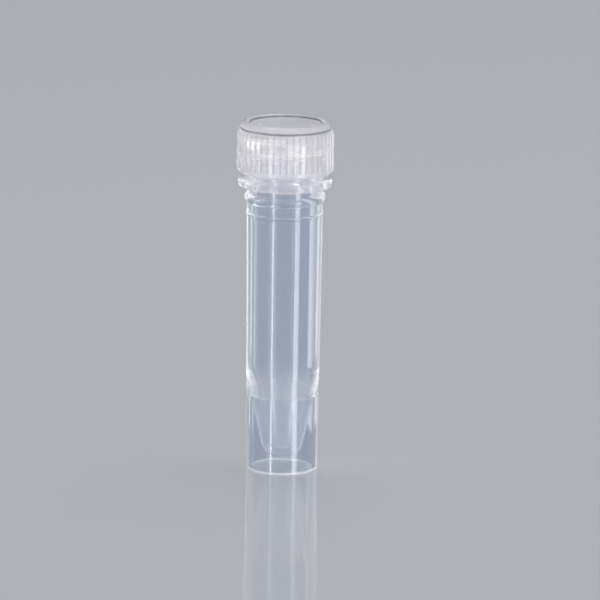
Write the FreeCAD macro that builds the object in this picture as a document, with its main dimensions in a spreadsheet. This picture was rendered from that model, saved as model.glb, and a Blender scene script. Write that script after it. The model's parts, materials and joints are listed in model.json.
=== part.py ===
"""Self-standing 2 ml micro tube with a ribbed screw cap and a captive sealing ring.

Three moulded pieces, in millimetres. The Z axis is the tube's own axis, and the tube stands on the plane
z = 0 with the origin at the centre of its foot. The cap is drawn screwed down. Both threads are
right-handed with one pitch, so the cap rises by the pitch for each turn anticlockwise seen from above.
"""
import FreeCAD, Part
import math
import os
import Sketcher

# Driving dimensions: alias, value in millimetres (angles in degrees, counts as plain numbers), meaning
DIMENSIONS = [
    ("foot_radius", 4.85, "outer radius of the low bead round the foot of the skirt"),
    ("foot_height", 0.45, "height of that bead"),
    ("edge_round", 0.15, "rounding of small moulded edges"),
    ("skirt_radius", 4.80, "outer radius that the drafted wall would have at the foot"),
    ("draft_angle", 0.5, "outward draft of the outer wall, degrees"),
    ("skirt_bore_foot", 4.20, "inner radius of the skirt at the foot"),
    ("skirt_bore_top", 4.14, "inner radius of the skirt where it joins the cone"),
    ("slot_top", 10.19, "height of the closed upper end of the slot between skirt and cone"),
    ("slot_width", 0.16, "width of the slot just below its closed end"),
    ("cone_angle", 11.43, "half angle of the conical bottom, degrees"),
    ("tip_radius", 2.87, "outer radius of the round end of the cone"),
    ("tip_height", 1.27, "clearance under the round end of the cone"),
    ("floor_thickness", 1.05, "thickness at the very bottom of the cone"),
    ("hollow_tip_radius", 2.18, "inner radius of the round end of the cone"),
    ("bore_low_radius", 4.12, "inner radius at the lower end of the straight bore"),
    ("bore_low_height", 13.69, "height where the straight bore runs into the cone"),
    ("bore_rim_radius", 4.22, "inner radius at the rim"),
    ("witness_height", 34.92, "height of the fine parting ring"),
    ("witness_radius", 5.19, "crest radius of the parting ring"),
    ("witness_half", 0.28, "half the height of the parting ring"),
    ("shoulder_radius", 5.075, "outer radius from the parting ring up to the bead"),
    ("bead_height", 37.03, "height of the bead's crest"),
    ("bead_radius", 5.40, "crest radius of the bead"),
    ("bead_round", 0.82, "radius of the bead's profile"),
    ("waist_radius", 5.10, "outer radius between the bead and the flange"),
    ("flange_bottom", 38.56, "underside of the flange"),
    ("flange_top", 39.83, "top face of the flange"),
    ("flange_radius", 6.26, "outer radius of the flange"),
    ("flange_round", 0.52, "rounding of the flange's upper edge"),
    ("flange_lower_round", 0.26, "rounding of the flange's lower edge"),
    ("neck_radius", 4.85, "root radius of the neck's thread"),
    ("rim_height", 45.38, "height of the tube's rim"),
    ("thread_pitch", 2.0, "rise in one turn, both threads"),
    ("neck_crest_radius", 5.30, "crest radius of the neck's thread"),
    ("neck_thread_start", 40.53, "mid height of the neck's thread where it begins, at +X"),
    ("neck_thread_turns", 2.0, "turns of the neck's thread"),
    ("cap_thread_start", 41.87, "mid height of the cap's thread where it begins, at +X"),
    ("cap_thread_turns", 1.8, "turns of the cap's thread"),
    ("cap_crest_radius", 5.05, "crest radius of the cap's thread"),
    ("thread_root_half", 0.42, "half the height of a thread ridge at its root"),
    ("thread_crest_half", 0.24, "half the height of a thread ridge at its crest"),
    ("thread_bite", 0.15, "depth that a ridge's profile reaches into its wall"),
    ("cap_radius", 6.46, "outer radius of the cap over the ribs"),
    ("cap_bottom", 40.42, "lower edge of the cap, screwed down"),
    ("cap_bevel_width", 0.52, "width of the bevel round the cap's lower outer edge"),
    ("cap_bevel_height", 0.40, "height of that bevel"),
    ("cap_bevel_round", 1.2, "radius of the bevel's slight bulge"),
    ("cap_bore_radius", 5.45, "inner radius of the cap's wall"),
    ("cap_lead_in", 0.20, "chamfer at the mouth of the cap's bore"),
    ("cap_wall_top", 45.25, "height where the cap's straight wall ends"),
    ("shoulder_edge_radius", 6.18, "radius of the faint edge on the cap's shoulder"),
    ("shoulder_edge_height", 46.25, "height of that edge"),
    ("shoulder_lower_round", 3.67, "radius of the shoulder's curve below the edge"),
    ("shoulder_upper_round", 1.205, "radius of the shoulder's curve above the edge"),
    ("cap_crest_ring_radius", 5.22, "radius of the cap's highest ring"),
    ("cap_top", 47.25, "overall height, at the cap's highest ring"),
    ("recess_lip_radius", 5.00, "radius of the edge of the recess in the cap's top"),
    ("recess_lip_height", 47.20, "height of that edge"),
    ("recess_radius", 4.84, "radius of the recess's floor"),
    ("recess_floor", 46.92, "height of the recess's floor"),
    ("cap_ceiling", 46.18, "underside of the cap's top plate"),
    ("corner_round", 0.25, "rounding between the cap's bore and its ceiling"),
    ("plug_outer_radius", 3.85, "outer radius of the locating ring under the ceiling"),
    ("plug_inner_radius", 3.35, "inner radius of the locating ring"),
    ("plug_depth", 1.0, "height of the locating ring"),
    ("flute_count", 45, "grip flutes round the cap"),
    ("flute_radius", 0.24, "radius of a flute's cutter"),
    ("flute_outset", 0.04, "distance of the cutter's axis outside the cap's wall"),
    ("flute_bottom", 41.16, "blunt lower end of the flutes"),
    ("seal_mean_radius", 4.49, "mean radius of the sealing ring"),
    ("seal_width", 0.98, "width of the squeezed ring's section"),
    ("seal_height", 0.72, "height of the squeezed ring's section"),
    ("seal_gap", 0.03, "running clearance between the sealing ring and the rim"),
]


def make_sheet(doc):
    """Write the driving dimensions into the spreadsheet, one row each."""
    sheet = doc.addObject("Spreadsheet::Sheet", "Sizes")
    for row, (alias, value, meaning) in enumerate(DIMENSIONS, start=1):
        sheet.set(f"A{row}", meaning)
        sheet.set(f"B{row}", str(value))
        sheet.setAlias(f"B{row}", alias)
    doc.recompute()
    return sheet


def origin_feature(body, role):
    """Find one of the body's own origin planes or axes."""
    return next(feature for feature in body.Origin.OriginFeatures if feature.Role == role)


def value_of(body, expression):
    """Work out an expression on the sheet as a plain number."""
    result = body.evalExpression(expression)
    return float(getattr(result, "Value", result))


def arc_between(start, end, radius, left):
    """An arc from start to end that bends to the left or right of the way, at most a half circle."""
    chord = end - start
    middle = (start + end) * 0.5
    offset = math.sqrt(max(radius * radius - chord.Length * chord.Length / 4, 0))
    side = FreeCAD.Vector(-chord.y, chord.x, 0).normalize() * (-offset if left else offset)
    centre = middle - side
    circle = Part.Circle(centre, FreeCAD.Vector(0, 0, 1), radius)
    first, last = (start, end) if left else (end, start)
    angles = [math.atan2((p - centre).y, (p - centre).x) for p in (first, last)]
    return Part.ArcOfCircle(circle, angles[0], angles[1])


def profile_sketch(body, name, corners):
    """Draw a closed outline in the XZ plane, with every corner bound to the sheet.

    Each corner is (radius, height) or (radius, height, arc radius, "left" or "right"). The last two
    describe the arc that leads from that corner to the next one, and the arc radius "half" makes it a
    half circle. A radius or height of "0" lies on the axis.
    """
    sketch = body.newObject("Sketcher::SketchObject", name)
    sketch.AttachmentSupport = [(origin_feature(body, "XZ_Plane"), "")]
    sketch.MapMode = "FlatFace"
    points = [FreeCAD.Vector(value_of(body, c[0]), value_of(body, c[1]), 0) for c in corners]
    starts, ends = [], []
    for index, corner in enumerate(corners):
        here, there = points[index], points[(index + 1) % len(points)]
        if len(corner) == 4:
            left = corner[3] == "left"
            half = corner[2] == "half"
            radius = (there - here).Length / 2 if half else value_of(body, corner[2])
            edge = sketch.addGeometry(arc_between(here, there, radius, left), False)
            starts.append((edge, 1 if left else 2))
            ends.append((edge, 2 if left else 1))
        else:
            edge = sketch.addGeometry(Part.LineSegment(here, there), False)
            starts.append((edge, 1))
            ends.append((edge, 2))
    for index in range(len(corners)):
        sketch.addConstraint(Sketcher.Constraint("Coincident", *ends[index - 1], *starts[index]))
    for index, corner in enumerate(corners):
        for axis, kind, expression in ((-2, "DistanceX", corner[0]), (-1, "DistanceY", corner[1])):
            if expression == "0":
                sketch.addConstraint(Sketcher.Constraint("PointOnObject", *starts[index], axis))
                continue
            size = points[index].x if kind == "DistanceX" else points[index].y
            number = sketch.addConstraint(Sketcher.Constraint(kind, -1, 1, *starts[index], size))
            sketch.setExpression(f"Constraints[{number}]", expression)
        if len(corner) == 4 and corner[2] == "half":
            # the ends already fix the radius, so the centre is held level with them instead
            across = abs(points[(index + 1) % len(points)].x - points[index].x) > 0
            kind, expression = ("DistanceY", corner[1]) if across else ("DistanceX", corner[0])
            size = points[index].y if across else points[index].x
            number = sketch.addConstraint(Sketcher.Constraint(kind, -1, 1, starts[index][0], 3, size))
            sketch.setExpression(f"Constraints[{number}]", expression)
        elif len(corner) == 4:
            radius = value_of(body, corner[2])
            number = sketch.addConstraint(Sketcher.Constraint("Radius", starts[index][0], radius))
            sketch.setExpression(f"Constraints[{number}]", corner[2])
    return sketch


def revolve(body, name, sketch):
    """Turn an outline into a solid round the Z axis."""
    solid = body.newObject("PartDesign::Revolution", name)
    solid.Profile = sketch
    solid.ReferenceAxis = (sketch, ["V_Axis"])
    solid.Angle = 360
    sketch.Visibility = False
    return solid


def thread(body, name, corners, turns):
    """Wind a ridge round the Z axis, right-handed, upwards from the XZ plane."""
    sketch = profile_sketch(body, name + "Profile", corners)
    ridge = body.newObject("PartDesign::AdditiveHelix", name)
    ridge.Profile = sketch
    ridge.ReferenceAxis = (sketch, ["V_Axis"])
    ridge.Mode = "pitch-turns-angle"
    ridge.setExpression("Pitch", "Sizes.thread_pitch")
    ridge.setExpression("Turns", turns)
    ridge.LeftHanded = False
    ridge.Reversed = False
    sketch.Visibility = False
    return ridge


def make_tube(doc):
    """The tube: skirt, conical bottom, drafted wall, parting ring, bead, flange and threaded neck."""
    body = doc.addObject("PartDesign::Body", "Tube")
    body.Label = "tube"
    s = "Sizes."
    draft = f"tan({s}draft_angle * 1 deg)"
    wall_at = f"{s}skirt_radius + {draft} * "
    # outer cone: tangent to the sphere of its round end
    sine, cosine = f"sin({s}cone_angle * 1 deg)", f"cos({s}cone_angle * 1 deg)"
    tip_centre = f"({s}tip_height + {s}tip_radius)"
    hollow_bottom = f"({s}tip_height + {s}floor_thickness)"
    hollow_centre = f"({hollow_bottom} + {s}hollow_tip_radius)"
    slot_corner_radius = f"{s}skirt_bore_top - {s}slot_width"
    # height where the outer cone has the slot's inner radius
    slot_corner_height = (
        f"{tip_centre} + ({slot_corner_radius} - {s}tip_radius / {cosine}) / tan({s}cone_angle * 1 deg)"
    )
    bead_foot = f"sqrt({s}bead_round ^ 2 - ({s}shoulder_radius - {s}bead_radius + {s}bead_round) ^ 2)"
    bead_head = f"sqrt({s}bead_round ^ 2 - ({s}waist_radius - {s}bead_radius + {s}bead_round) ^ 2)"
    flange_low = f"{s}flange_lower_round"
    witness_low = f"({s}witness_height - {s}witness_half)"
    witness_rise = f"({s}witness_radius - {s}shoulder_radius)"
    outline = [
        # inside, from the axis up to the rim
        ("0", hollow_bottom, f"{s}hollow_tip_radius", "left"),
        (f"{s}hollow_tip_radius * {cosine}", f"{hollow_centre} - {s}hollow_tip_radius * {sine}"),
        (f"{s}bore_low_radius", f"{s}bore_low_height"),
        (f"{s}bore_rim_radius", f"{s}rim_height - {s}edge_round", f"{s}edge_round", "right"),
        (f"{s}bore_rim_radius + {s}edge_round", f"{s}rim_height"),
        (f"{s}neck_radius - {s}edge_round", f"{s}rim_height", f"{s}edge_round", "right"),
        # outside, down the neck to the flange
        (f"{s}neck_radius", f"{s}rim_height - {s}edge_round"),
        (f"{s}neck_radius", f"{s}flange_top"),
        (f"{s}flange_radius - {s}flange_round", f"{s}flange_top", f"{s}flange_round", "right"),
        (f"{s}flange_radius", f"{s}flange_top - {s}flange_round"),
        (f"{s}flange_radius", f"{s}flange_bottom + {flange_low}", flange_low, "right"),
        (f"{s}flange_radius - {flange_low}", f"{s}flange_bottom"),
        (f"{s}waist_radius", f"{s}flange_bottom"),
        (f"{s}waist_radius", f"{s}bead_height + {bead_head}", f"{s}bead_round", "right"),
        (f"{s}shoulder_radius", f"{s}bead_height - {bead_foot}"),
        # parting ring, a shallow arc
        (
            f"{s}shoulder_radius",
            f"{s}witness_height + {s}witness_half",
            f"({s}witness_half ^ 2 + {witness_rise} ^ 2) / (2 * {witness_rise})",
            "right",
        ),
        (f"{wall_at}{witness_low}", witness_low),
        # drafted wall and foot
        (f"{wall_at}(2 * {s}foot_height)", f"2 * {s}foot_height"),
        (f"{s}foot_radius", f"{s}foot_height"),
        (f"{s}foot_radius", f"{s}edge_round", f"{s}edge_round", "right"),
        (f"{s}foot_radius - {s}edge_round", "0"),
        (f"{s}skirt_bore_foot + {s}edge_round", "0", f"{s}edge_round", "right"),
        (f"{s}skirt_bore_foot", f"{s}edge_round"),
        # up the slot between skirt and cone, and down the cone to its round end
        (f"{s}skirt_bore_top", f"{s}slot_top - {s}slot_width / 2", "half", "left"),
        (slot_corner_radius, f"{s}slot_top - {s}slot_width / 2"),
        (slot_corner_radius, slot_corner_height),
        (f"{s}tip_radius * {cosine}", f"{tip_centre} - {s}tip_radius * {sine}", f"{s}tip_radius", "right"),
        ("0", f"{s}tip_height"),
    ]
    sketch = profile_sketch(body, "TubeProfile", outline)
    revolve(body, "TubeShell", sketch)
    ridge = [
        (f"{s}neck_radius - {s}thread_bite", f"{s}neck_thread_start - {s}thread_root_half"),
        (f"{s}neck_radius", f"{s}neck_thread_start - {s}thread_root_half"),
        (f"{s}neck_crest_radius", f"{s}neck_thread_start - {s}thread_crest_half"),
        (f"{s}neck_crest_radius", f"{s}neck_thread_start + {s}thread_crest_half"),
        (f"{s}neck_radius", f"{s}neck_thread_start + {s}thread_root_half"),
        (f"{s}neck_radius - {s}thread_bite", f"{s}neck_thread_start + {s}thread_root_half"),
    ]
    thread(body, "NeckThread", ridge, f"{s}neck_thread_turns")
    return body


def make_screw_cap(doc):
    """The cap: fluted wall, rounded shoulder, recessed top, locating ring and internal thread."""
    body = doc.addObject("PartDesign::Body", "ScrewCap")
    body.Label = "screw_cap"
    s = "Sizes."
    plug_bottom = f"{s}cap_ceiling - {s}plug_depth"
    outline = [
        # outside, from the recess's floor over the crest and down the wall
        ("0", f"{s}recess_floor"),
        (f"{s}recess_radius", f"{s}recess_floor"),
        (f"{s}recess_lip_radius", f"{s}recess_lip_height"),
        (f"{s}cap_crest_ring_radius", f"{s}cap_top", f"{s}shoulder_upper_round", "right"),
        (f"{s}shoulder_edge_radius", f"{s}shoulder_edge_height", f"{s}shoulder_lower_round", "right"),
        (f"{s}cap_radius", f"{s}cap_wall_top"),
        (f"{s}cap_radius", f"{s}cap_bottom + {s}cap_bevel_height", f"{s}cap_bevel_round", "right"),
        (f"{s}cap_radius - {s}cap_bevel_width", f"{s}cap_bottom"),
        # inside, up the bore to the ceiling and round the locating ring
        (f"{s}cap_bore_radius + {s}cap_lead_in", f"{s}cap_bottom"),
        (f"{s}cap_bore_radius", f"{s}cap_bottom + {s}cap_lead_in"),
        (f"{s}cap_bore_radius", f"{s}cap_ceiling - {s}corner_round", f"{s}corner_round", "left"),
        (f"{s}cap_bore_radius - {s}corner_round", f"{s}cap_ceiling"),
        (f"{s}plug_outer_radius", f"{s}cap_ceiling"),
        (f"{s}plug_outer_radius", f"{plug_bottom} + {s}edge_round", f"{s}edge_round", "right"),
        (f"{s}plug_outer_radius - {s}edge_round", plug_bottom),
        (f"{s}plug_inner_radius", plug_bottom),
        (f"{s}plug_inner_radius", f"{s}cap_ceiling"),
        ("0", f"{s}cap_ceiling"),
    ]
    sketch = profile_sketch(body, "CapProfile", outline)
    revolve(body, "CapShell", sketch)
    cut_flutes(body)
    ridge = [
        (f"{s}cap_bore_radius + {s}thread_bite", f"{s}cap_thread_start - {s}thread_root_half"),
        (f"{s}cap_bore_radius + {s}thread_bite", f"{s}cap_thread_start + {s}thread_root_half"),
        (f"{s}cap_bore_radius", f"{s}cap_thread_start + {s}thread_root_half"),
        (f"{s}cap_crest_radius", f"{s}cap_thread_start + {s}thread_crest_half"),
        (f"{s}cap_crest_radius", f"{s}cap_thread_start - {s}thread_crest_half"),
        (f"{s}cap_bore_radius", f"{s}cap_thread_start - {s}thread_root_half"),
    ]
    thread(body, "CapThread", ridge, f"{s}cap_thread_turns")
    return body


def cut_flutes(body):
    """Cut one grip flute upwards from its blunt end, and repeat it round the cap."""
    sketch = body.newObject("Sketcher::SketchObject", "FluteSection")
    sketch.AttachmentSupport = [(origin_feature(body, "XY_Plane"), "")]
    sketch.MapMode = "FlatFace"
    sketch.setExpression("AttachmentOffset.Base.z", "Sizes.flute_bottom")
    distance = value_of(body, "Sizes.cap_radius + Sizes.flute_outset")
    radius = value_of(body, "Sizes.flute_radius")
    centre = FreeCAD.Vector(distance, 0, 0)
    circle = sketch.addGeometry(Part.Circle(centre, FreeCAD.Vector(0, 0, 1), radius), False)
    sketch.addConstraint(Sketcher.Constraint("PointOnObject", circle, 3, -1))
    number = sketch.addConstraint(Sketcher.Constraint("DistanceX", -1, 1, circle, 3, distance))
    sketch.setExpression(f"Constraints[{number}]", "Sizes.cap_radius + Sizes.flute_outset")
    number = sketch.addConstraint(Sketcher.Constraint("Radius", circle, radius))
    sketch.setExpression(f"Constraints[{number}]", "Sizes.flute_radius")
    flute = body.newObject("PartDesign::Pocket", "Flute")
    flute.Profile = sketch
    flute.setExpression("Length", "Sizes.cap_top - Sizes.flute_bottom")
    flute.Reversed = True
    sketch.Visibility = False
    pattern = body.newObject("PartDesign::PolarPattern", "Flutes")
    pattern.Originals = [flute]
    pattern.Axis = (origin_feature(body, "Z_Axis"), [""])
    pattern.Angle = 360
    pattern.setExpression("Occurrences", "Sizes.flute_count")
    body.Tip = pattern


def make_o_ring(doc):
    """The sealing ring, squeezed flat above and below between the rim and the cap's ceiling."""
    body = doc.addObject("PartDesign::Body", "SealingRing")
    body.Label = "o_ring"
    s = "Sizes."
    low = f"{s}rim_height + {s}seal_gap"
    high = f"{s}rim_height + {s}seal_gap + {s}seal_height"
    flat = f"({s}seal_width - {s}seal_height) / 2"
    outline = [
        (f"{s}seal_mean_radius - {flat}", low),
        (f"{s}seal_mean_radius + {flat}", low, "half", "left"),
        (f"{s}seal_mean_radius + {flat}", high),
        (f"{s}seal_mean_radius - {flat}", high, "half", "left"),
    ]
    sketch = profile_sketch(body, "SealSection", outline)
    revolve(body, "SealSolid", sketch)
    return body


def check(doc, bodies):
    """Stop before anything is written if an object failed or a shape isn't one sound solid."""
    failed = [obj.Name for obj in doc.Objects if {"Invalid", "Error"} & set(obj.State)]
    if failed:
        raise RuntimeError(f"these objects failed to recompute: {failed}")
    for body in bodies:
        shape = body.Shape
        if shape.isNull() or not shape.isValid() or len(shape.Solids) != 1:
            raise RuntimeError(f"{body.Label} isn't one valid solid")
    cap = doc.getObject("Flutes").Shape.Volume
    if not cap < doc.getObject("CapShell").Shape.Volume:
        raise RuntimeError("the flutes cut nothing")


def main():
    doc = FreeCAD.newDocument("MicroTube")
    make_sheet(doc)
    bodies = [make_tube(doc), make_screw_cap(doc), make_o_ring(doc)]
    doc.recompute()
    check(doc, bodies)
    os.makedirs("parts", exist_ok=True)
    for body in bodies:
        body.Shape.exportStep(f"parts/{body.Label}.step")
        box = body.Shape.BoundBox
        print(f"{body.Label}: {body.Shape.Volume:.1f} mm3, z {box.ZMin:.2f} to {box.ZMax:.2f}")


main()
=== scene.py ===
"""A self-standing screw-cap micro tube in natural polypropylene, on a plain pale floor.

The three pieces are built here as fine meshes of revolution, with their threads, flutes and rounded edges
in the mesh, and each takes the place of the CAD node of the same shape. Sizes are in millimetres until
they become mesh points.
"""
import math

import bmesh
import bpy
from mathutils import Matrix, Vector
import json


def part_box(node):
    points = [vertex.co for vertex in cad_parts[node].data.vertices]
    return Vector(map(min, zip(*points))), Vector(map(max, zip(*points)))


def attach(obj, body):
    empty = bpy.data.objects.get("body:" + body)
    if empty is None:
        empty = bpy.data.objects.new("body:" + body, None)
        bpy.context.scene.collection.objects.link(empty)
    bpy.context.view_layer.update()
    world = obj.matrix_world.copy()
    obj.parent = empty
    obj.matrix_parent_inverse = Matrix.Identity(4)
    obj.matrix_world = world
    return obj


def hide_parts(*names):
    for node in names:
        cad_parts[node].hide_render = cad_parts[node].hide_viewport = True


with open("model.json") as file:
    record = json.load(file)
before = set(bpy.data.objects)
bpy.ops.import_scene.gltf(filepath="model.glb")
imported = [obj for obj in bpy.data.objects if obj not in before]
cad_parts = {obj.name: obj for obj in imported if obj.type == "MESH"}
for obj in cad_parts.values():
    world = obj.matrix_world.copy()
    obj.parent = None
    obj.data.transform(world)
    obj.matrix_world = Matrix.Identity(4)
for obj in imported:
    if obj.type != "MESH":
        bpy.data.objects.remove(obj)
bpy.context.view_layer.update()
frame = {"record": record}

MM = 0.001


def corners_mm(node):
    """The lowest and highest corners of a CAD node, in millimetres."""
    return [Vector(corner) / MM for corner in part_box(node)]


tube_high = corners_mm("tube")[1]
seal_low, seal_high = corners_mm("o_ring")

# Meshes
RING_STEP = 0.07  # height between rings of points where a thread runs
SHARP_ANGLE = math.radians(32)  # edges sharper than this stay crisp
ON_AXIS = 1e-6  # a radius below this counts as a point on the axis
SLACK = 0.001  # so that a ring of points at the top of the flutes counts as inside them

# Tube, from its foot upwards
EDGE = 0.15  # the round on its rim, its foot and the cap's locating ring
FOOT_RADIUS, FOOT_HEIGHT = 4.85, 0.45
SKIRT_RADIUS, DRAFT = 4.80, math.tan(math.radians(0.5))
SKIRT_BORE_FOOT, SKIRT_BORE_TOP = 4.20, 4.14
SLOT_TOP, SLOT_WIDTH = 10.19, 0.16
CONE_ANGLE = math.radians(11.43)
TIP_RADIUS, TIP_HEIGHT = 2.87, 1.27
HOLLOW_TIP_RADIUS, FLOOR_THICKNESS = 2.18, 1.05
BORE_LOW_RADIUS, BORE_LOW_HEIGHT = 4.12, 13.69
BLEND_START, BLEND_END = (-0.10, -0.55), (0.003, 0.7)  # from the bore's low corner, in radius and height
BLEND_ROUND = 6.5
BORE_RIM_RADIUS = 4.22
WITNESS_HEIGHT, WITNESS_RADIUS, WITNESS_HALF = 34.92, 5.19, 0.28
SHOULDER_RADIUS = 5.075
BEAD_HEIGHT, BEAD_RADIUS, BEAD_ROUND = 37.03, 5.40, 0.82
WAIST_RADIUS = 5.10
FLANGE_BOTTOM, FLANGE_LOWER_ROUND = 38.56, 0.26
FLANGE_TOP, FLANGE_ROUND = 39.83, 0.52
FLANGE_RADIUS = tube_high.x
NECK_RADIUS, RIM_HEIGHT = 4.85, tube_high.z

# Threads, both right-handed
PITCH = 2.0
ROOT_HALF, CREST_HALF = 0.42, 0.24
RUN_OUT = 0.09  # part of a turn over which a ridge rises from its wall
NECK_CREST, NECK_START, NECK_TURNS = 5.30, 40.53, 2.0
CAP_CREST, CAP_START, CAP_TURNS = 5.05, 41.87, 1.8

# Cap
CAP_RADIUS, CAP_BOTTOM, CAP_TOP = 6.46, 40.42, 47.25
BEVEL_WIDTH, BEVEL_HEIGHT, BEVEL_ROUND = 0.52, 0.40, 1.2
BEVEL_TOP_SOFT, BEVEL_TOP_ROUND = 0.05, 0.12  # how far its softened corners reach, and their rounds
BEVEL_FOOT_SOFT, BEVEL_FOOT_REACH, BEVEL_FOOT_ROUND = (0.05, 0.03), 0.04, 0.10
CAP_BORE, CAP_LEAD_IN, CAP_WALL_TOP = 5.45, 0.20, 45.25
SHOULDER_EDGE = (6.18, 46.25)
SHOULDER_LOWER_ROUND, SHOULDER_UPPER_ROUND = 3.67, 1.205
DOME_FOOT = (6.09, 46.56)  # where the smooth shoulder ends
# the groove between the smooth shoulder and the ribs
NOTCH_RADIUS, NOTCH_TOP, NOTCH_FOOT = 6.04, 46.50, 46.30
CREST_RING, CREST_ROUND = (5.22, CAP_TOP), 0.30
RECESS_HEAD = (4.95, 47.12)  # where the recess's steep wall meets the crest's round
RECESS_RADIUS, RECESS_FLOOR = 4.84, 46.92
# the fine groove round the recess: its width, the height of its outer side over the floor, and its round
MOAT_WIDTH, MOAT_SIDE, MOAT_ROUND = 0.14, 0.02, 0.09
CEILING, CORNER_ROUND = 46.18, 0.25
PLUG_OUTER, PLUG_INNER, PLUG_DEPTH = 3.85, 3.35, 1.0
FLUTES, FLUTE_RADIUS, FLUTE_AXIS = 45, 0.24, 6.50
FLUTE_BOTTOM, FLUTE_TOP = 41.16, 46.15
FLUTE_HEAD_RADIUS = 6.21  # the wall's radius where the flutes end
FLUTE_END_ABOVE, FLUTE_END_BELOW = 0.08, 0.02  # rings of points on both sides of the flutes' lower end

# Sealing ring
SEAL_MEAN_RADIUS = 4.49

# Plastics
PLASTIC_IOR, SILICONE_IOR = 1.49, 1.41
TUBE_CLEAR, CAP_CLEAR, THREAD_HIGHLIGHT_CLEAR, SILICONE_CLEAR = 0.98, 0.82, 0.15, 0.85  # share of light let through; the thread's low share paints a highlight on the cap's thread crest
# How much less light the tube lets through at its flange and its cone, and at the edge of its foot, where
# the whiter, less clear plastic is a painted highlight
MILKY_FLANGE, MILKY_CONE, FOOT_HIGHLIGHT = 0.18, 0.10, 0.7
FLANGE_FADE, CONE_FADE = 0.4, 3  # how much height the flange's and the cone's milkiness take to set in
FOOT_HIGHLIGHT_FADE = (1.2 * EDGE, 1.8 * EDGE)  # heights between which the foot edge's painted highlight ends
CLEAR_TINT, MILKY_AND_HIGHLIGHT_TINT = (0.77, 0.82, 0.90, 1), (0.88, 0.875, 0.91, 1)
# the flutes' grey and the grooves' near-black are painted shade; the ribs' tint is the cap's own colour
RIB_TINT, FLUTE_PAINTED_SHADE, GROOVE_PAINTED_SHADE = (0.94, 0.93, 0.96, 1), (0.68, 0.68, 0.72, 1), (0.20, 0.20, 0.24, 1)
SILICONE_TINT = (0.88, 0.88, 0.90, 1)
TUBE_HAZE, CAP_HAZE, SILICONE_HAZE = (0.84, 0.87, 1.0, 1), (0.94, 0.935, 0.97, 1), (0.95, 0.95, 1.0, 1)
NOTCH_REACH, MOAT_REACH, THREAD_HIGHLIGHT_REACH = 0.15, 0.09, 0.14  # how far each painted shade, and the thread's painted highlight, goes both ways
# the radius of the painted shade ring round the recess
MOAT_SHADE_RADIUS = RECESS_RADIUS - 0.02
FLUTE_DEPTHS = (0.05, 0.15)  # depths below the wall between which a flute's painted shade sets in

# Studio, in metres and degrees
TUBE_MIDDLE = 0.024
CLOSE_DISTANCE, STRIP_HEIGHT, HIGH_BOX_HEIGHT = 0.06, 0.072, 0.009
STRIP_LIFT, HIGH_BOX_LIFT = -12, 18  # the strips end below the cap's top, so its disc doesn't mirror them
CLOSE_BOXES = [
    # name, first and last turn, lift, height, brightness, and whether it is seen through the tube's walls
    ("strip_left", -35, -31, STRIP_LIFT, STRIP_HEIGHT, 5.6, False),
    ("strip_right", 31, 45, STRIP_LIFT, STRIP_HEIGHT, 4.2, False),
    ("rim_left", -138, -131, STRIP_LIFT, STRIP_HEIGHT, 0.65, True),
    ("rim_right", 134, 150, STRIP_LIFT, STRIP_HEIGHT, 0.6, True),
    ("high_left", -100, -60, HIGH_BOX_LIFT, HIGH_BOX_HEIGHT, 8.0, False),
    ("high_right", 8, 50, HIGH_BOX_LIFT, HIGH_BOX_HEIGHT, 4.5, False),
]
OVERHEAD_TURN, OVERHEAD_LIFT, OVERHEAD_DISTANCE, OVERHEAD_SIZE = 160, 70, 0.9, 0.8
FLOOR_HALF = 6.0
FLOOR_TINT = (0.69, 0.695, 0.71, 1)
SKY_TINT, SKY_LOW, SKY_HIGH = (0.66, 0.68, 0.72, 1), 0.45, 0.85
CAMERA_PLACE, CAMERA_PITCH, CAMERA_ROLL = (0.00218, -0.62973, 0.16523), 12.73, 0.78
LENS_MM, SENSOR_MM, NEAREST, FARTHEST = 290.3, 36, 0.01, 50


# ---------------------------------------------------------------- meshes

def arc(start, end, radius, left, steps):
    """Points after start and up to end, in so many steps, on an arc that turns left or right on its way."""
    start, end = Vector(start), Vector(end)
    chord = end - start
    offset = math.sqrt(max(radius * radius - chord.length_squared / 4, 0))
    inward = Vector((-chord.y, chord.x)).normalized() * (1 if left else -1)
    centre = (start + end) / 2 + inward * offset
    first = math.atan2(*reversed(start - centre))
    last = math.atan2(*reversed(end - centre))
    if left and last < first:
        last += 2 * math.pi
    if not left and last > first:
        last -= 2 * math.pi
    angles = [first + (last - first) * i / steps for i in range(1, steps + 1)]
    return [(centre.x + radius * math.cos(a), centre.y + radius * math.sin(a)) for a in angles]


def climb(radius, low, high):
    """Evenly spaced points on a straight wall, from low to high or from high to low."""
    count = max(1, round(abs(high - low) / RING_STEP))
    return [(radius, low + (high - low) * i / count) for i in range(count + 1)]


def smooth(low, high, value):
    """0 below low, 1 above high, and a smooth step between."""
    t = min(max((value - low) / (high - low), 0.0), 1.0)
    return t * t * (3 - 2 * t)


def ridge(height, angle, start, turns):
    """How far a thread's ridge stands up at a height and angle, from 0 to 1."""
    best = 0.0
    for lap in range(math.ceil(turns)):
        along = angle / (2 * math.pi) + lap
        if along > turns:
            break
        away = abs(height - start - PITCH * along)
        rise = 1 - smooth(CREST_HALF, ROOT_HALF, away)
        ends = smooth(0, RUN_OUT, along) * smooth(0, RUN_OUT, turns - along)
        best = max(best, rise * ends)
    return best


def flute_angles():
    """Angles round the cap, close together where each flute's edges are."""
    pitch = 2 * math.pi / FLUTES
    # in parts of the pitch, from the middle of a flute
    steps = [-0.32, -0.275, -0.22, -0.14, -0.045, 0.045, 0.14, 0.22, 0.275, 0.32, 0.40, 0.50, 0.60]
    return [pitch * (flute + step) for flute in range(FLUTES) for step in steps]


def even_angles(count):
    """So many angles, evenly round the axis."""
    return [2 * math.pi * i / count for i in range(count)]


def neck_shape(radius, height, angle):
    """The tube's neck with its thread."""
    if radius == NECK_RADIUS and height > FLANGE_TOP:
        return radius + (NECK_CREST - NECK_RADIUS) * ridge(height, angle, NECK_START, NECK_TURNS)
    return radius


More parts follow.
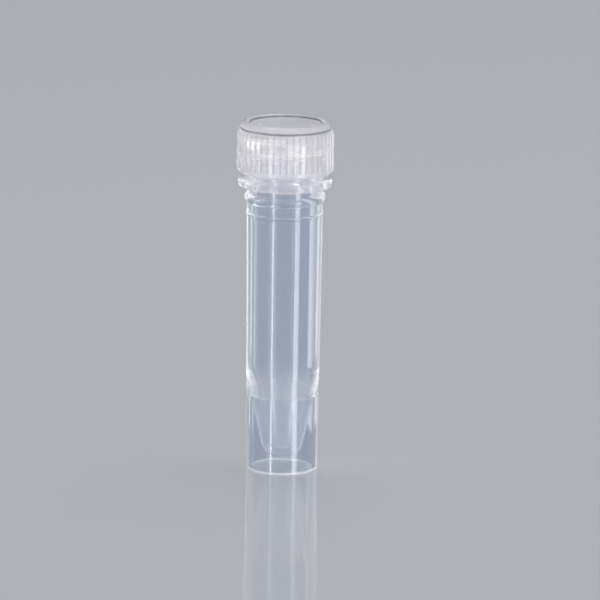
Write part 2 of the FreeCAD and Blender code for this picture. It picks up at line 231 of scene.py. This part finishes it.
def cap_shape(radius, height, angle):
    """The cap's wall: its flutes outside, as deep on the shoulder as below it, and its thread inside."""
    if radius == CAP_BORE:
        return radius - (CAP_BORE - CAP_CREST) * ridge(height, angle, CAP_START, CAP_TURNS)
    if not FLUTE_BOTTOM < height < FLUTE_TOP + SLACK or radius < CAP_BORE + CORNER_ROUND:
        return radius
    pitch = 2 * math.pi / FLUTES
    away = FLUTE_AXIS * math.sin((angle + pitch / 2) % pitch - pitch / 2)
    if abs(away) >= FLUTE_RADIUS:
        return radius
    flute_floor = math.sqrt(FLUTE_AXIS ** 2 - away ** 2) - math.sqrt(FLUTE_RADIUS ** 2 - away ** 2)
    return radius - max(CAP_RADIUS - flute_floor, 0)


def plain_shape(radius, height, angle):
    """A surface of revolution, with nothing on it."""
    return radius


def lathe(name, outline, angles, shape, closed=False):
    """A smooth mesh turned from an outline of (radius, height) points, each ring shaped by a function."""
    bm = bmesh.new()
    rings = []
    for radius, height in outline:
        if radius < ON_AXIS:
            rings.append([bm.verts.new((0, 0, height * MM))] * len(angles))
            continue
        ring = []
        for angle in angles:
            r = shape(radius, height, angle % (2 * math.pi)) * MM
            ring.append(bm.verts.new((r * math.cos(angle), r * math.sin(angle), height * MM)))
        rings.append(ring)
    pairs = list(zip(rings, rings[1:])) + ([(rings[-1], rings[0])] if closed else [])
    for lower, upper in pairs:
        for i in range(len(angles)):
            j = (i + 1) % len(angles)
            corners = [lower[i], lower[j], upper[j], upper[i]]
            face = list(dict.fromkeys(corners))
            if len(face) > 2:
                bm.faces.new(face)
    bmesh.ops.recalc_face_normals(bm, faces=bm.faces)
    mesh = bpy.data.meshes.new(name)
    bm.to_mesh(mesh)
    bm.free()
    mesh.shade_smooth()
    mesh.set_sharp_from_angle(angle=SHARP_ANGLE)
    piece = bpy.data.objects.new(name, mesh)
    bpy.context.collection.objects.link(piece)
    return piece


def tube_outline():
    """The tube's half section, from the hollow's bottom over the rim and down to the cone's tip."""
    sine, cosine = math.sin(CONE_ANGLE), math.cos(CONE_ANGLE)
    hollow_bottom = TIP_HEIGHT + FLOOR_THICKNESS
    hollow_centre = hollow_bottom + HOLLOW_TIP_RADIUS
    hollow_tangent = (HOLLOW_TIP_RADIUS * cosine, hollow_centre - HOLLOW_TIP_RADIUS * sine)
    tip_centre = TIP_HEIGHT + TIP_RADIUS
    tip_tangent = (TIP_RADIUS * cosine, tip_centre - TIP_RADIUS * sine)
    slot_inner = SKIRT_BORE_TOP - SLOT_WIDTH
    slot_corner = tip_centre + (slot_inner - TIP_RADIUS / cosine) / math.tan(CONE_ANGLE)
    slot_round = SLOT_TOP - SLOT_WIDTH / 2
    bead_foot = math.sqrt(BEAD_ROUND ** 2 - (SHOULDER_RADIUS - BEAD_RADIUS + BEAD_ROUND) ** 2)
    bead_head = math.sqrt(BEAD_ROUND ** 2 - (WAIST_RADIUS - BEAD_RADIUS + BEAD_ROUND) ** 2)
    witness_rise = WITNESS_RADIUS - SHOULDER_RADIUS
    witness_round = (WITNESS_HALF ** 2 + witness_rise ** 2) / (2 * witness_rise)
    witness_low = WITNESS_HEIGHT - WITNESS_HALF

    points = [(0, hollow_bottom)]
    points += arc(points[-1], hollow_tangent, HOLLOW_TIP_RADIUS, True, 24)
    # the cone's inside blends into the bore
    blend_top = (BORE_LOW_RADIUS + BLEND_END[0], BORE_LOW_HEIGHT + BLEND_END[1])
    points += [(BORE_LOW_RADIUS + BLEND_START[0], BORE_LOW_HEIGHT + BLEND_START[1])]
    points += arc(points[-1], blend_top, BLEND_ROUND, True, 6)
    points += [(BORE_RIM_RADIUS, RIM_HEIGHT - EDGE)]
    points += arc(points[-1], (BORE_RIM_RADIUS + EDGE, RIM_HEIGHT), EDGE, False, 5)
    points += [(NECK_RADIUS - EDGE, RIM_HEIGHT)]
    points += arc(points[-1], (NECK_RADIUS, RIM_HEIGHT - EDGE), EDGE, False, 5)[:-1]
    points += climb(NECK_RADIUS, RIM_HEIGHT - EDGE, FLANGE_TOP)
    points += [(FLANGE_RADIUS - FLANGE_ROUND, FLANGE_TOP)]
    points += arc(points[-1], (FLANGE_RADIUS, FLANGE_TOP - FLANGE_ROUND), FLANGE_ROUND, False, 10)
    low = FLANGE_LOWER_ROUND
    points += [(FLANGE_RADIUS, FLANGE_BOTTOM + low)]
    points += arc(points[-1], (FLANGE_RADIUS - low, FLANGE_BOTTOM), low, False, 6)
    points += [(WAIST_RADIUS, FLANGE_BOTTOM), (WAIST_RADIUS, BEAD_HEIGHT + bead_head)]
    points += arc(points[-1], (SHOULDER_RADIUS, BEAD_HEIGHT - bead_foot), BEAD_ROUND, False, 16)
    points += [(SHOULDER_RADIUS, WITNESS_HEIGHT + WITNESS_HALF)]
    points += arc(points[-1], (SKIRT_RADIUS + DRAFT * witness_low, witness_low), witness_round, False, 8)
    points += [(SKIRT_RADIUS + DRAFT * 2 * FOOT_HEIGHT, 2 * FOOT_HEIGHT)]
    points += [(FOOT_RADIUS, FOOT_HEIGHT), (FOOT_RADIUS, EDGE)]
    points += arc(points[-1], (FOOT_RADIUS - EDGE, 0), EDGE, False, 6)
    points += [(SKIRT_BORE_FOOT + EDGE, 0)]
    points += arc(points[-1], (SKIRT_BORE_FOOT, EDGE), EDGE, False, 6)
    points += [(SKIRT_BORE_TOP, slot_round)]
    points += arc(points[-1], (slot_inner, slot_round), SLOT_WIDTH / 2, True, 8)
    points += [(slot_inner, slot_corner), tip_tangent]
    points += arc(points[-1], (0, TIP_HEIGHT), TIP_RADIUS, False, 30)
    return points


def cap_outline():
    """The cap's half section, from the recess over the crest, down the wall and up the bore."""
    # the recess has a fine groove round its floor, at the foot of a steep wall
    points = [(0, RECESS_FLOOR), (RECESS_RADIUS - MOAT_WIDTH, RECESS_FLOOR)]
    points += arc(points[-1], (RECESS_RADIUS, RECESS_FLOOR + MOAT_SIDE), MOAT_ROUND, True, 6)
    points += [RECESS_HEAD]
    points += arc(points[-1], CREST_RING, CREST_ROUND, False, 6)
    points += arc(points[-1], DOME_FOOT, SHOULDER_UPPER_ROUND, False, 14)
    points += [(NOTCH_RADIUS, NOTCH_TOP), (NOTCH_RADIUS, NOTCH_FOOT)]
    points += [(FLUTE_HEAD_RADIUS, FLUTE_TOP)]
    points += arc(points[-1], (CAP_RADIUS, CAP_WALL_TOP), SHOULDER_LOWER_ROUND, False, 14)
    points += [(CAP_RADIUS, FLUTE_BOTTOM + FLUTE_END_ABOVE), (CAP_RADIUS, FLUTE_BOTTOM - FLUTE_END_BELOW)]
    # the bevel bulges a little, and its corners are softened
    bevel_top, bevel_foot = CAP_BOTTOM + BEVEL_HEIGHT, CAP_RADIUS - BEVEL_WIDTH
    soft = BEVEL_TOP_SOFT
    bevel_end = (bevel_foot + BEVEL_FOOT_SOFT[0], CAP_BOTTOM + BEVEL_FOOT_SOFT[1])
    points += [(CAP_RADIUS, bevel_top + soft)]
    points += arc(points[-1], (CAP_RADIUS - soft, bevel_top - soft), BEVEL_TOP_ROUND, False, 4)
    points += arc(points[-1], bevel_end, BEVEL_ROUND, False, 6)
    points += arc(points[-1], (bevel_foot - BEVEL_FOOT_REACH, CAP_BOTTOM), BEVEL_FOOT_ROUND, False, 3)
    points += [(CAP_BORE + CAP_LEAD_IN, CAP_BOTTOM)]
    points += climb(CAP_BORE, CAP_BOTTOM + CAP_LEAD_IN, CEILING - CORNER_ROUND)
    points += arc(points[-1], (CAP_BORE - CORNER_ROUND, CEILING), CORNER_ROUND, True, 6)
    points += [(PLUG_OUTER, CEILING), (PLUG_OUTER, CEILING - PLUG_DEPTH + EDGE)]
    points += arc(points[-1], (PLUG_OUTER - EDGE, CEILING - PLUG_DEPTH), EDGE, False, 5)
    points += [(PLUG_INNER + EDGE, CEILING - PLUG_DEPTH)]
    points += arc(points[-1], (PLUG_INNER, CEILING - PLUG_DEPTH + EDGE), EDGE, False, 5)
    points += [(PLUG_INNER, CEILING), (0, CEILING)]
    return points


def seal_outline():
    """The squeezed ring's section: flat above and below, round at its sides."""
    height = seal_high.z - seal_low.z
    outer, round_radius = seal_high.x, height / 2
    inner = 2 * SEAL_MEAN_RADIUS - outer
    points = [(inner + round_radius, seal_low.z), (outer - round_radius, seal_low.z)]
    points += arc(points[-1], (outer - round_radius, seal_high.z), round_radius, True, 14)
    points += [(inner + round_radius, seal_high.z)]
    points += arc(points[-1], (inner + round_radius, seal_low.z), round_radius, True, 14)[:-1]
    return points


# ---------------------------------------------------------------- materials

class Nodes:
    """A material's node tree, with short calls for the nodes used here."""

    def __init__(self, name):
        self.material = bpy.data.materials.new(name)
        self.material.use_nodes = True
        self.tree = self.material.node_tree
        self.shader = self.tree.nodes["Principled BSDF"]
        self.output = self.tree.nodes["Material Output"]
        self.place = self.tree.nodes.new("ShaderNodeTexCoord").outputs["Object"]

    def add(self, kind, settings=(), **inputs):
        """Add a node; keyword names are its inputs, with underscores for spaces."""
        node = self.tree.nodes.new("ShaderNode" + kind)
        for key, value in settings:
            setattr(node, key, value)
        for key, value in inputs.items():
            self.feed(node.inputs[key.replace("_", " ")], value)
        return node

    def feed(self, socket, value):
        """Link a socket to another node's, or give it a plain value."""
        if isinstance(value, bpy.types.NodeSocket):
            self.tree.links.new(value, socket)
        else:
            socket.default_value = value

    def set(self, **inputs):
        """Set or link the Principled shader's own inputs."""
        for key, value in inputs.items():
            self.feed(self.shader.inputs[key.replace("_", " ")], value)

    def noise(self, grain_mm, detail=3.0, stretch=(1, 1, 1)):
        """Noise whose grains are about grain_mm across."""
        scaled = self.add("Mapping", Vector=self.place, Scale=[1 / (grain_mm * MM * s) for s in stretch])
        return self.add("TexNoise", Vector=scaled.outputs[0], Scale=1.0, Detail=detail).outputs["Fac"]

    def between(self, value, low, high, start=0.35, end=0.65):
        """Map a value, such as the middle of a noise, to a range of values."""
        return self.add(
            "MapRange", Value=value, From_Min=start, From_Max=end, To_Min=low, To_Max=high
        ).outputs[0]

    def height(self):
        """The height of a point above the foot, in millimetres."""
        z = self.add("SeparateXYZ", Vector=self.place).outputs["Z"]
        return self.calculate("DIVIDE", z, MM)

    def radius(self):
        """The distance of a point from the tube's axis, in millimetres."""
        place = self.add("SeparateXYZ", Vector=self.place).outputs
        squares = [self.calculate("POWER", place[axis], 2) for axis in "XY"]
        return self.calculate("DIVIDE", self.calculate("SQRT", self.calculate("ADD", *squares)), MM)

    def calculate(self, operation, *values):
        """The result of one operation on values or on other nodes' results."""
        node = self.add("Math", [("operation", operation)])
        for socket, value in zip(node.inputs, values):
            self.feed(socket, value)
        return node.outputs[0]

    def mix(self, share, first, second):
        """A colour that goes from the first to the second as the share rises."""
        return self.add("MixRGB", Fac=share, Color1=first, Color2=second).outputs[0]

    def cloud(self, per_mm, colour):
        """Light scattered inside the plastic, so that thick stretches look milkier than thin walls."""
        volume = self.add("VolumeScatter", Color=colour, Density=per_mm / MM, Anisotropy=0.2)
        self.feed(self.output.inputs["Volume"], volume.outputs[0])

    def let_lamps_through(self, share):
        """Let the lamps shine through the wall, which a shadow ray would otherwise take as opaque."""
        shadow = self.add("LightPath").outputs["Is Shadow Ray"]
        clear = self.add("BsdfTransparent", Color=(share, share, share, 1)).outputs[0]
        mix = self.add("MixShader", Fac=shadow)
        self.feed(mix.inputs[1], self.shader.outputs[0])
        self.feed(mix.inputs[2], clear)
        self.feed(self.output.inputs["Surface"], mix.outputs[0])

    def bump(self, height, depth_mm, normal=None):
        """A fine relief of about that depth, on top of another one if that is given."""
        node = self.add("Bump", Height=height, Strength=1.0, Distance=depth_mm * MM)
        if normal is not None:
            self.feed(node.inputs["Normal"], normal)
        return node.outputs["Normal"]


def clear_polypropylene():
    """The tube: clear with a faint blue haze, rippled, milkier at its flange and cone, and with a painted
    highlight at its foot edge.
    """
    n = Nodes("clear_polypropylene")
    height = n.height()
    at_flange = n.between(height, 0, MILKY_FLANGE, FLANGE_BOTTOM - FLANGE_FADE, FLANGE_BOTTOM)
    at_cone = n.between(height, MILKY_CONE, 0, BORE_LOW_HEIGHT - CONE_FADE, BORE_LOW_HEIGHT)
    # the foot's edge is painted whiter and less clear: a painted highlight along its rim
    foot_highlight = n.between(height, FOOT_HIGHLIGHT, 0, *FOOT_HIGHLIGHT_FADE)
    inside_skirt = n.calculate("LESS_THAN", n.radius(), SKIRT_BORE_TOP - SLOT_WIDTH / 2)
    milkiness_and_foot_highlight = n.calculate("ADD", at_flange, n.calculate("MULTIPLY", at_cone, inside_skirt))
    milkiness_and_foot_highlight = n.calculate("ADD", milkiness_and_foot_highlight, foot_highlight)
    n.set(Transmission_Weight=n.calculate("SUBTRACT", TUBE_CLEAR, milkiness_and_foot_highlight), IOR=PLASTIC_IOR)
    # whiter where the plastic is milky, and at the foot's edge as a painted highlight
    whiter_and_foot_highlight = n.calculate("MULTIPLY", milkiness_and_foot_highlight, 1 / MILKY_CONE)
    n.set(Base_Color=n.mix(whiter_and_foot_highlight, CLEAR_TINT, MILKY_AND_HIGHLIGHT_TINT))
    n.cloud(per_mm=0.075, colour=TUBE_HAZE)
    n.let_lamps_through(share=0.93)
    ripple = n.noise(grain_mm=2.2, detail=1.0, stretch=(1, 1, 5))
    grain = n.noise(grain_mm=0.5)
    n.set(Roughness=n.between(grain, low=0.04, high=0.09))
    n.set(Normal=n.bump(grain, depth_mm=0.0012, normal=n.bump(ripple, depth_mm=0.006)))
    return n.material


def milky_polypropylene():
    """The cap: the same plastic, milkier, with painted shade in its grooves and flutes and a painted
    highlight on its thread crest.
    """
    n = Nodes("milky_polypropylene")
    height, radius = n.height(), n.radius()
    # a dark band under the smooth shoulder and a dark ring round the recess floor are painted shade
    at_notch = n.calculate("COMPARE", height, (DOME_FOOT[1] + NOTCH_FOOT) / 2, NOTCH_REACH)
    round_recess = n.calculate("COMPARE", radius, MOAT_SHADE_RADIUS, MOAT_REACH)
    on_top = n.calculate("GREATER_THAN", height, SHOULDER_EDGE[1])
    groove_shade = n.calculate("MAXIMUM", at_notch, n.calculate("MULTIPLY", round_recess, on_top))
    # a flute, painted darker as shade, is where the surface lies below the wall, which narrows on the
    # shoulder
    narrowing = (CAP_RADIUS - SHOULDER_EDGE[0]) / (SHOULDER_EDGE[1] - CAP_WALL_TOP)
    above_wall = n.calculate("MAXIMUM", n.calculate("SUBTRACT", height, CAP_WALL_TOP), 0)
    wall = n.calculate("SUBTRACT", CAP_RADIUS, n.calculate("MULTIPLY", above_wall, narrowing))
    in_flute = n.between(n.calculate("SUBTRACT", wall, radius), 0, 1, *FLUTE_DEPTHS)
    middle, reach = (FLUTE_BOTTOM + FLUTE_TOP) / 2, (FLUTE_TOP - FLUTE_BOTTOM) / 2
    beside_flutes = n.calculate("COMPARE", height, middle, reach)
    outside = n.calculate("GREATER_THAN", radius, CAP_BORE + CORNER_ROUND)
    in_flute = n.calculate("MULTIPLY", in_flute, n.calculate("MULTIPLY", beside_flutes, outside))
    # painted shade: grey in the flutes and near-black in the grooves, over the ribs' own colour
    n.set(Base_Color=n.mix(groove_shade, n.mix(in_flute, RIB_TINT, FLUTE_PAINTED_SHADE), GROOVE_PAINTED_SHADE))
    # the cap's thread crest is made whiter and less clear: a painted highlight, seen through the cap
    on_thread = n.calculate("COMPARE", radius, CAP_CREST, THREAD_HIGHLIGHT_REACH)
    in_bore = n.calculate("LESS_THAN", height, CEILING - CORNER_ROUND)
    thread_highlight = n.calculate("MULTIPLY", on_thread, in_bore)
    n.set(IOR=PLASTIC_IOR, Transmission_Weight=n.between(thread_highlight, CAP_CLEAR, THREAD_HIGHLIGHT_CLEAR, 0, 1))
    n.cloud(per_mm=0.27, colour=CAP_HAZE)
    n.let_lamps_through(share=0.9)
    grain = n.noise(grain_mm=0.35)
    n.set(Roughness=n.between(grain, low=0.06, high=0.10))
    n.set(Normal=n.bump(grain, depth_mm=0.002))
    return n.material


def silicone():
    """The sealing ring: translucent, softly matt silicone."""
    n = Nodes("silicone")
    n.set(Base_Color=SILICONE_TINT, IOR=SILICONE_IOR, Transmission_Weight=SILICONE_CLEAR)
    n.cloud(per_mm=0.15, colour=SILICONE_HAZE)
    n.let_lamps_through(share=0.85)
    grain = n.noise(grain_mm=0.2)
    n.set(Roughness=n.between(grain, low=0.20, high=0.30))
    n.set(Normal=n.bump(grain, depth_mm=0.003))
    return n.material


def polished_floor():
    """Plain, pale and a little glossy."""
    n = Nodes("pale_floor")
    n.set(Base_Color=FLOOR_TINT, Roughness=0.06, IOR=1.45)
    return n.material


# ---------------------------------------------------------------- pieces

def place_pieces():
    """Make the three pieces, each on the body of the CAD node that it replaces."""
    tube = lathe("tube_wall", tube_outline(), even_angles(360), neck_shape)
    cap = lathe("ribbed_cap", cap_outline(), flute_angles(), cap_shape)
    seal = lathe("seal_ring", seal_outline(), even_angles(180), plain_shape, closed=True)
    made = [
        (tube, "tube", clear_polypropylene()),
        (cap, "screw_cap", milky_polypropylene()),
        (seal, "o_ring", silicone()),
    ]
    bodies = {node: body for body, nodes in frame["record"]["behaviour"]["bodies"].items() for node in nodes}
    for piece, node, material in made:
        piece.data.materials.append(material)
        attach(piece, bodies[node])
        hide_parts(node)
    return [tube, cap, seal]


# ---------------------------------------------------------------- stage

def make_floor():
    """A plain floor under the tube."""
    mesh = bpy.data.meshes.new("floor")
    half = FLOOR_HALF
    corners = [(-half, -half, 0), (half, -half, 0), (half, half, 0), (-half, half, 0)]
    mesh.from_pydata(corners, [], [(0, 1, 2, 3)])
    floor = bpy.data.objects.new("floor", mesh)
    bpy.context.collection.objects.link(floor)
    mesh.materials.append(polished_floor())
    floor.visible_glossy = False  # so that the strips' reflections reach down to the tube's foot


def soft_box(name, turn, lift, distance, width, height, brightness):
    """A soft box facing the tube's middle; turn is measured from the camera's side, to its right."""
    turn, lift = math.radians(turn), math.radians(lift)
    away = Vector((math.sin(turn) * math.cos(lift), -math.cos(turn) * math.cos(lift), math.sin(lift)))
    data = bpy.data.lights.new(name, "AREA")
    data.shape = "RECTANGLE"
    data.size, data.size_y = width, height
    data.energy = brightness * math.pi * width * height
    light = bpy.data.objects.new(name, data)
    light.location = Vector((0, 0, TUBE_MIDDLE)) + away * distance
    light.rotation_euler = away.to_track_quat("Z", "Y").to_euler()
    bpy.context.collection.objects.link(light)
    return light


def close_box(subject, name, first_turn, last_turn, lift, height, brightness, seen_through):
    """A box close to the tube, between two turns, that lights only the tube and not the floor. The camera
    never sees it straight, and through the tube's walls only if it is one that may be seen through them.
    """
    width = 2 * CLOSE_DISTANCE * math.tan(math.radians(last_turn - first_turn) / 2)
    middle = (first_turn + last_turn) / 2
    box = soft_box(name, middle, lift, CLOSE_DISTANCE, width, height, brightness)
    box.visible_camera = False
    box.visible_transmission = seen_through
    box.light_linking.receiver_collection = subject
    box.light_linking.blocker_collection = subject


def make_world():
    """A soft sky that is brighter overhead than at the horizon."""
    world = bpy.data.worlds.new("studio")
    world.use_nodes = True
    tree = world.node_tree
    direction = tree.nodes.new("ShaderNodeTexCoord").outputs["Generated"]
    parts = tree.nodes.new("ShaderNodeSeparateXYZ")
    tree.links.new(direction, parts.inputs[0])
    strength = tree.nodes.new("ShaderNodeMapRange")
    strength.inputs["To Min"].default_value = SKY_LOW
    strength.inputs["To Max"].default_value = SKY_HIGH
    tree.links.new(parts.outputs["Z"], strength.inputs["Value"])
    background = tree.nodes["Background"]
    background.inputs["Color"].default_value = SKY_TINT
    tree.links.new(strength.outputs[0], background.inputs["Strength"])
    bpy.context.scene.world = world


def make_lights(pieces):
    """Two strips in front, two behind, two small boxes level with the cap, and soft light from above."""
    subject = bpy.data.collections.new("tube_pieces")
    for piece in pieces:
        subject.objects.link(piece)
    for box in CLOSE_BOXES:
        close_box(subject, *box)
    size = OVERHEAD_SIZE
    soft_box("overhead", OVERHEAD_TURN, OVERHEAD_LIFT, OVERHEAD_DISTANCE, size, size, brightness=1.0)


def make_camera():
    """A long lens that looks down on the tube, turned by under a degree so that the tube leans a little."""
    data = bpy.data.cameras.new("camera")
    data.sensor_width = SENSOR_MM
    data.lens = LENS_MM
    data.clip_start, data.clip_end = NEAREST, FARTHEST
    camera = bpy.data.objects.new("camera", data)
    camera.matrix_world = (
        Matrix.Translation(CAMERA_PLACE)
        @ Matrix.Rotation(math.radians(90 - CAMERA_PITCH), 4, "X")
        @ Matrix.Rotation(math.radians(CAMERA_ROLL), 4, "Z")
    )
    bpy.context.collection.objects.link(camera)
    bpy.context.scene.camera = camera


def set_light_paths():
    """Enough bounces for light to cross all the walls, a limit on stray sparkles, and plain colours."""
    scene = bpy.context.scene
    scene.cycles.max_bounces = 24
    scene.cycles.transmission_bounces = 24
    scene.cycles.glossy_bounces = 8
    scene.cycles.diffuse_bounces = 5
    scene.cycles.volume_bounces = 6
    scene.cycles.transparent_max_bounces = 16
    scene.cycles.sample_clamp_indirect = 6
    scene.view_settings.view_transform = "Standard"


pieces = place_pieces()
make_floor()
make_lights(pieces)
make_world()
make_camera()
set_light_paths()
